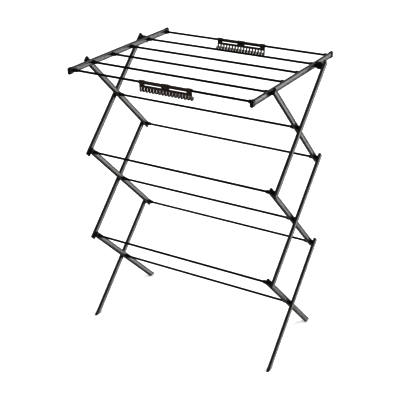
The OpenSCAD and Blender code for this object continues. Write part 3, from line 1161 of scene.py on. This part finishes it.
@dataclass(frozen=True)
class TubeEnds:
    """Plugs in the arms' ends, boots on the rails' ends and the feet.

    Attributes:
        finishes: the rack's materials.
        inset: how far a plug's cap stands back from the tube's outline, in millimetres.
        boot_hold: length of rail that a boot covers, in millimetres.
    """

    finishes: Finishes
    inset: float = 0.1
    boot_hold: float = 12.0

    def plug(self) -> bpy.types.Object:
        """Models a plug whose flange sits on the tube's end at z = 0, facing +Z.

        Returns:
            The plug.
        """
        less = 2.0 * self.inset * MM
        seat, flange, stem = 0.03 * MM, 1.1 * MM, 5.2 * MM
        piece = oval_plate("plug", PLAN.tube_w - less, PLAN.tube_t - less)
        begin_edit(piece)
        shift((0.0, 0.0, seat))
        extrude((0.0, 0.0, flange))
        select_faces(piece, lambda c, n: c.z > 1.0 * MM)
        terrace([(0.12, 0.35), (0.3, 0.3), (0.45, 0.15), (0.7, 0.03), (0.2, -0.45), (0.25, -0.1)])
        select_faces(piece, lambda c, n: c.z < 0.1 * MM)
        terrace([(0.95, 0.0)])
        extrude((0.0, 0.0, -stem))
        terrace([(0.4, 0.3)])
        close_edit()
        return piece

    def arm_plugs(
        self,
        node: str,
        body: str,
        pivot: tuple[int, int],
        layer: float,
        rise: int,
        ends: tuple[int, ...],
    ) -> None:
        """Puts the plugs of one pair of arms.

        Args:
            node: the CAD node that they stand for.
            body: the body that they ride on.
            pivot: the arm's crossing.
            layer: x of the arm's inner face on the right.
            rise: 1 when the arm rises to the rear, -1 when it rises to the front.
            ends: 1 for the upper end, -1 for the lower one.
        """
        y, z = PLAN.pivot(*pivot)
        turn = Matrix.Rotation(-rise * (QUARTER_TURN - PLAN.lean), 4, "X")
        places = []
        for end in ends:
            flip = Matrix.Rotation(0.0 if end > 0 else math.pi, 4, "X")
            along = Matrix.Translation((0.0, 0.0, end * PLAN.arm_end))
            seat = Matrix.Translation((layer + PLAN.tube_t / 2.0, y, z))
            places.append(seat @ turn @ along @ flip)
        piece = copies(f"{node}_moulded", self.plug(), on_both_sides(places))
        finish_piece(piece, body, (node,), Slot.MOULDING, self.finishes)

    def foot(self, rise: int) -> bpy.types.Object:
        """Models a foot whose sole is centred at the origin.

        Args:
            rise: 1 when the leg rises to the rear, -1 when it rises to the front.

        Returns:
            The foot.
        """
        slope = rise / math.tan(PLAN.lean)
        edge, sole, stem = 0.5 * MM, 2.98 * MM, 17.0 * MM
        piece = oval_plate("foot", PLAN.tube_w, PLAN.tube_t)
        begin_edit(piece)
        bpy.ops.transform.resize(value=(1.0, 1.0 / math.sin(PLAN.lean), 1.0))
        shift((0.0, slope * edge, edge))
        extrude((0.0, slope * (sole - edge), sole - edge))
        select_faces(piece, lambda c, n: c.z > 2.9 * MM)
        terrace([(1.1, 0.0)])
        extrude((0.0, slope * stem, stem))
        select_faces(piece, lambda c, n: c.z < 0.6 * MM)
        terrace([(0.15, 0.3), (0.4, 0.2), (1.3, 0.0), (0.3, -0.5), (0.9, 0.0), (0.3, 0.45)])
        close_edit()
        return piece

    def boot(self) -> bpy.types.Object:
        """Models a boot whose mouth is at z = 0 and whose closed end faces +Z.

        Returns:
            The boot.
        """
        wall, margin, depth = 1.38, 2.8 * MM, 11.9 * MM
        rim, barrel = 2.4 * MM, 9.4 * MM
        piece = oval_plate("boot", PLAN.tube_w + margin, PLAN.tube_t + margin)
        begin_edit(piece)
        extrude((0.0, 0.0, rim))
        select_faces(piece, lambda c, n: c.z > 2.3 * MM)
        terrace([(0.35, 0.25), (0.0, 0.5)])
        extrude((0.0, 0.0, barrel))
        terrace([(0.2, 0.6), (0.45, 0.5), (0.8, 0.3), (1.4, 0.05)])
        select_faces(piece, lambda c, n: c.z < 0.01 * MM)
        terrace([(0.25, 0.0), (wall - 0.25, 0.0)])
        extrude((0.0, 0.0, depth))
        close_edit()
        return piece

    def build(self) -> None:
        """Makes every plug, foot and boot."""
        inner, outer = PLAN.inner, PLAN.outer
        self.arm_plugs("rear_leg_plugs", "rear_leg_frame", LEG_CROSS, inner, -1, (1,))
        self.arm_plugs("front_leg_plugs", "front_leg_pair", LEG_CROSS, outer, 1, (1,))
        self.arm_plugs("mid_inner_plugs", "mid_inner_frame", MID_CROSS, inner, -1, (-1, 1))
        self.arm_plugs("mid_outer_plugs", "mid_outer_pair", MID_CROSS, outer, 1, (-1, 1))
        self.arm_plugs("top_inner_plugs", "top_inner_frame", TOP_CROSS, inner, -1, (-1, 1))
        self.arm_plugs("top_outer_plugs", "top_outer_pair", TOP_CROSS, outer, 1, (-1, 1))
        reach = PLAN.reach * math.cos(PLAN.lean)
        feet = (
            ("rear_feet", "rear_leg_frame", inner, -1),
            ("front_feet", "front_leg_pair", outer, 1),
        )
        for node, body, layer, rise in feet:
            at = (layer + PLAN.tube_t / 2.0, PLAN.cross_y - rise * reach, 0.0)
            piece = copies(f"{node}_moulded", self.foot(rise), on_both_sides([Matrix.Translation(at)]))
            finish_piece(piece, body, (node,), Slot.MOULDING, self.finishes)
        rail_mid = PLAN.rail + PLAN.tube_t / 2.0
        rods = PLAN.tray_rods
        boots = (
            ("rail_rear_caps", rods[0] + PLAN.rail_end - self.boot_hold * MM, -QUARTER_TURN),
            ("rail_front_caps", rods[5] - PLAN.rail_end + self.boot_hold * MM, QUARTER_TURN),
        )
        for node, y, turn in boots:
            upright = Matrix.Rotation(turn, 4, "X")
            place = Matrix.Translation((rail_mid, y, PLAN.tray_z)) @ upright
            piece = copies(f"{node}_moulded", self.boot(), on_both_sides([place]))
            finish_piece(piece, "tray", (node,), Slot.MOULDING, self.finishes)


# ---------------------------------------------------------------- hanger combs


@dataclass(frozen=True)
class HangerComb:
    """A clip-on comb: a C-shaped clip, a windowed plate and a row of J hooks.

    Sizes are millimetres, measured from the rod's axis.

    Attributes:
        finishes: the rack's materials.
        node: the CAD node that it stands for.
        body: the body that it rides on.
        centre_x: middle of the comb along its rod, in metres.
        rod: number of its tray rod from the rear.
        inward: 1 when the hooks curl toward +Y, -1 when toward -Y.
        length: length along the rod.
        hooks: number of hooks.
        drop: depth of the hooks' bends.
        hook_w: width of a hook along the rod.
        hook_t: its thickness.
        bend: radius of its two bends.
        reach: how far its tip stands from its stem.
        tip: depth of its tip.
        plate_t: thickness of the plate.
        window_top: depth of the windows' upper edge.
        window_low: depth of their lower edge.
        bar_low: depth of the plate's lower edge.
        end_w: length of the thick clip and the solid plate at each end.
        mid_w: the same in the middle.
        grip_r: inner radius of the clip.
        shell: wall of the clip over the windows.
        boss: its wall at the ends and in the middle.
        clip_points: points round the clip.
    """

    finishes: Finishes
    node: str
    body: str
    centre_x: float
    rod: int
    inward: int
    length: float = 200.0
    hooks: int = 17
    drop: float = 35.0
    hook_w: float = 4.6
    hook_t: float = 2.6
    bend: float = 3.2
    reach: float = 11.0
    tip: float = 22.2
    plate_t: float = 3.0
    window_top: float = 5.2
    window_low: float = 10.0
    bar_low: float = 17.3
    end_w: float = 19.0
    mid_w: float = 29.0
    grip_r: float = PLAN.rod_r / MM + 0.08
    shell: float = 1.9
    boss: float = 3.4
    clip_points: int = 48

    def clip(self, start: float, length: float, wall: float) -> bpy.types.Object:
        """Models a stretch of the C-shaped clip.

        Args:
            start: where it begins along X.
            length: its length.
            wall: its wall thickness.

        Returns:
            The clip.
        """
        piece = hoop(self.grip_r + wall / 2.0, self.clip_points)
        begin_edit(piece)
        shift((start * MM, 0.0, 0.0))
        select_points(piece, lambda p: p.y > 1.0 * MM and p.z < -0.1 * MM)
        bpy.ops.mesh.delete(type="VERT")
        bpy.ops.mesh.select_all(action="SELECT")
        extrude((length * MM, 0.0, 0.0))
        close_edit()
        thicken(piece, wall * MM)
        apply_bevel(piece, 0.35 * MM)
        return piece

    def plate(self) -> bpy.types.Object:
        """Models the plate with its two windows.

        Returns:
            The plate.
        """
        top = self.grip_r + 0.3
        tall = self.bar_low - top
        deselect_all()
        bpy.ops.mesh.primitive_plane_add(
            size=1.0,
            location=(0.0, 0.0, -(top + tall / 2.0) * MM),
            rotation=(QUARTER_TURN, 0.0, 0.0),
        )
        piece = bpy.context.object
        piece.scale = (self.length * MM, tall * MM, 1.0)
        settle()
        begin_edit(piece)
        window_out = self.length / 2.0 - self.end_w
        window_in = self.mid_w / 2.0
        for x in (-window_out, -window_in, window_in, window_out):
            bpy.ops.mesh.select_all(action="SELECT")
            bpy.ops.mesh.bisect(plane_co=(x * MM, 0.0, 0.0), plane_no=(1.0, 0.0, 0.0))
        for z in (-self.window_top, -self.window_low):
            bpy.ops.mesh.select_all(action="SELECT")
            bpy.ops.mesh.bisect(plane_co=(0.0, 0.0, z * MM), plane_no=(0.0, 0.0, 1.0))
        select_faces(
            piece,
            lambda c, n: window_in * MM < abs(c.x) < window_out * MM
            and -self.window_low * MM < c.z < -self.window_top * MM,
        )
        bpy.ops.mesh.delete(type="FACE")
        bpy.ops.mesh.select_all(action="SELECT")
        shift((0.0, -self.plate_t / 2.0 * MM, 0.0))
        extrude((0.0, self.plate_t * MM, 0.0))
        close_edit()
        apply_bevel(piece, 0.45 * MM)
        return piece

    def bead(self) -> bpy.types.Object:
        """Models the bead that stiffens the lower bar.

        Returns:
            The bead.
        """
        tall = self.bar_low - self.window_low - 1.0
        deselect_all()
        bpy.ops.mesh.primitive_cube_add(size=1.0, location=(0.0, 0.0, (tall / 2.0 - self.bar_low) * MM))
        piece = bpy.context.object
        piece.scale = (self.length * MM, (self.plate_t + 1.6) * MM, tall * MM)
        settle()
        apply_bevel(piece, 0.75 * MM, 3)
        return piece

    def path(self) -> list[tuple[float, float]]:
        """Lists the points of a hook's middle line as (outward, up)."""
        turn_z = -self.drop + self.hook_t / 2.0 + self.bend
        points = [(0.0, -self.bar_low + 2.0), (0.0, -self.bar_low - 3.0)]
        for step in range(6):
            angle = math.pi * (1.0 + step / 10.0)
            points.append((self.bend + self.bend * math.cos(angle), turn_z + self.bend * math.sin(angle)))
        far_x = self.reach - self.bend
        for step in range(6):
            angle = math.pi * (1.5 + step / 10.0)
            points.append((far_x + self.bend * math.cos(angle), turn_z + self.bend * math.sin(angle)))
        points.append((self.reach, -self.tip))
        return points

    def hook(self) -> bpy.types.Object:
        """Models one J hook in the middle of the comb.

        Returns:
            The hook.
        """
        line = self.path()
        deselect_all()
        bpy.ops.mesh.primitive_plane_add(size=self.hook_w * MM, location=(0.0, 0.0, 0.0))
        piece = bpy.context.object
        begin_edit(piece)
        select_points(piece, lambda p: p.y > 0.0)
        bpy.ops.mesh.delete(type="VERT")
        bpy.ops.mesh.select_all(action="SELECT")
        out, up = line[0]
        shift((0.0, (out + self.hook_w / 2.0) * MM, up * MM))
        for next_out, next_up in line[1:]:
            step = (0.0, (next_out - out) * MM, (next_up - up) * MM)
            extrude(step)
            out, up = next_out, next_up
        close_edit()
        thicken(piece, self.hook_t * MM, even=True)
        begin_edit(piece)
        select_points(piece, lambda p: p.z > -(self.tip + 0.2) * MM and p.y > self.reach * 0.6 * MM)
        bpy.ops.transform.resize(
            value=(0.8, 0.7, 1.0), center_override=(0.0, self.reach * MM, -self.tip * MM)
        )
        close_edit()
        apply_bevel(piece, 0.4 * MM)
        return piece

    def build(self) -> None:
        """Makes the comb on its rod."""
        half = self.length / 2.0
        parts = [
            self.clip(-half, self.length, self.shell),
            self.clip(-half, self.end_w, self.boss),
            self.clip(half - self.end_w, self.end_w, self.boss),
            self.clip(-self.mid_w / 2.0, self.mid_w, self.boss),
            self.plate(),
            self.bead(),
        ]
        pitch = (self.length - self.hook_w) / (self.hooks - 1)
        first = (self.hook_w - self.length) / 2.0
        stems = [Matrix.Translation(((first + i * pitch) * MM, 0.0, 0.0)) for i in range(self.hooks)]
        parts.append(copies("hooks", self.hook(), stems))
        pattern = join("comb", parts)
        seat = Matrix.Translation((self.centre_x, PLAN.tray_rods[self.rod], PLAN.tray_z))
        facing = Matrix.Scale(-1.0, 4, Vector((0.0, 1.0, 0.0))) if self.inward < 0 else Matrix.Identity(4)
        piece = copies(f"{self.node}_moulded", pattern, [seat @ facing])
        finish_piece(piece, self.body, (self.node,), Slot.COMB, self.finishes)


def arm_line(pivot: tuple[int, int], rise: int) -> TubeLine:
    """Finds the line of an arm.

    Args:
        pivot: the arm's crossing.
        rise: 1 when it rises to the rear, -1 when it rises to the front.

    Returns:
        Its line.
    """
    across = Vector((0.0, -rise * math.sin(PLAN.lean), math.cos(PLAN.lean)))
    y, z = PLAN.pivot(*pivot)
    tilt = 0.26 if rise < 0 else 0.16
    return TubeLine(tuple(across), across.dot(Vector((0.0, y, z))), tilt=tilt)


def dress_frame(finishes: Finishes) -> None:
    """Gives every CAD node the material of its record slot.

    Args:
        finishes: the rack's materials.
    """
    lines = {
        "rear_leg": arm_line(LEG_CROSS, -1),
        "front_leg": arm_line(LEG_CROSS, 1),
        "mid_inner_arm": arm_line(MID_CROSS, -1),
        "mid_outer_arm": arm_line(MID_CROSS, 1),
        "top_inner_arm": arm_line(TOP_CROSS, -1),
        "top_outer_arm": arm_line(TOP_CROSS, 1),
        "tray_rail": TubeLine((0.0, 0.0, 1.0), PLAN.tray_z),
    }
    tubes = {tube: finishes.tube(tube, line) for tube, line in lines.items()}
    for name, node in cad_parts.items():
        tube = name.rsplit("_", 1)[0]
        if tube in tubes:
            dress(node, tubes[tube])
        elif "comb" in name:
            dress(node, finishes.materials[Slot.COMB])
        elif "_rod" in name:
            dress(node, finishes.materials[Slot.ROD])
        else:
            dress(node, finishes.materials[Slot.MOULDING])
    LOG.info("dressed %d frame nodes", len(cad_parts))


def main() -> None:
    """Builds the studio and dresses the rack."""
    logging.basicConfig(level=logging.INFO, format="%(message)s")
    Studio().build()
    finishes = Finishes.build()
    dress_frame(finishes)
    PivotHardware(finishes).build()
    TubeEnds(finishes).build()
    HangerComb(finishes, "hanger_comb_front", "front_comb", 0.025, 5, 1).build()
    HangerComb(finishes, "hanger_comb_rear", "rear_comb", -0.009, 0, -1).build()


if __name__ == "__main__":
    main()
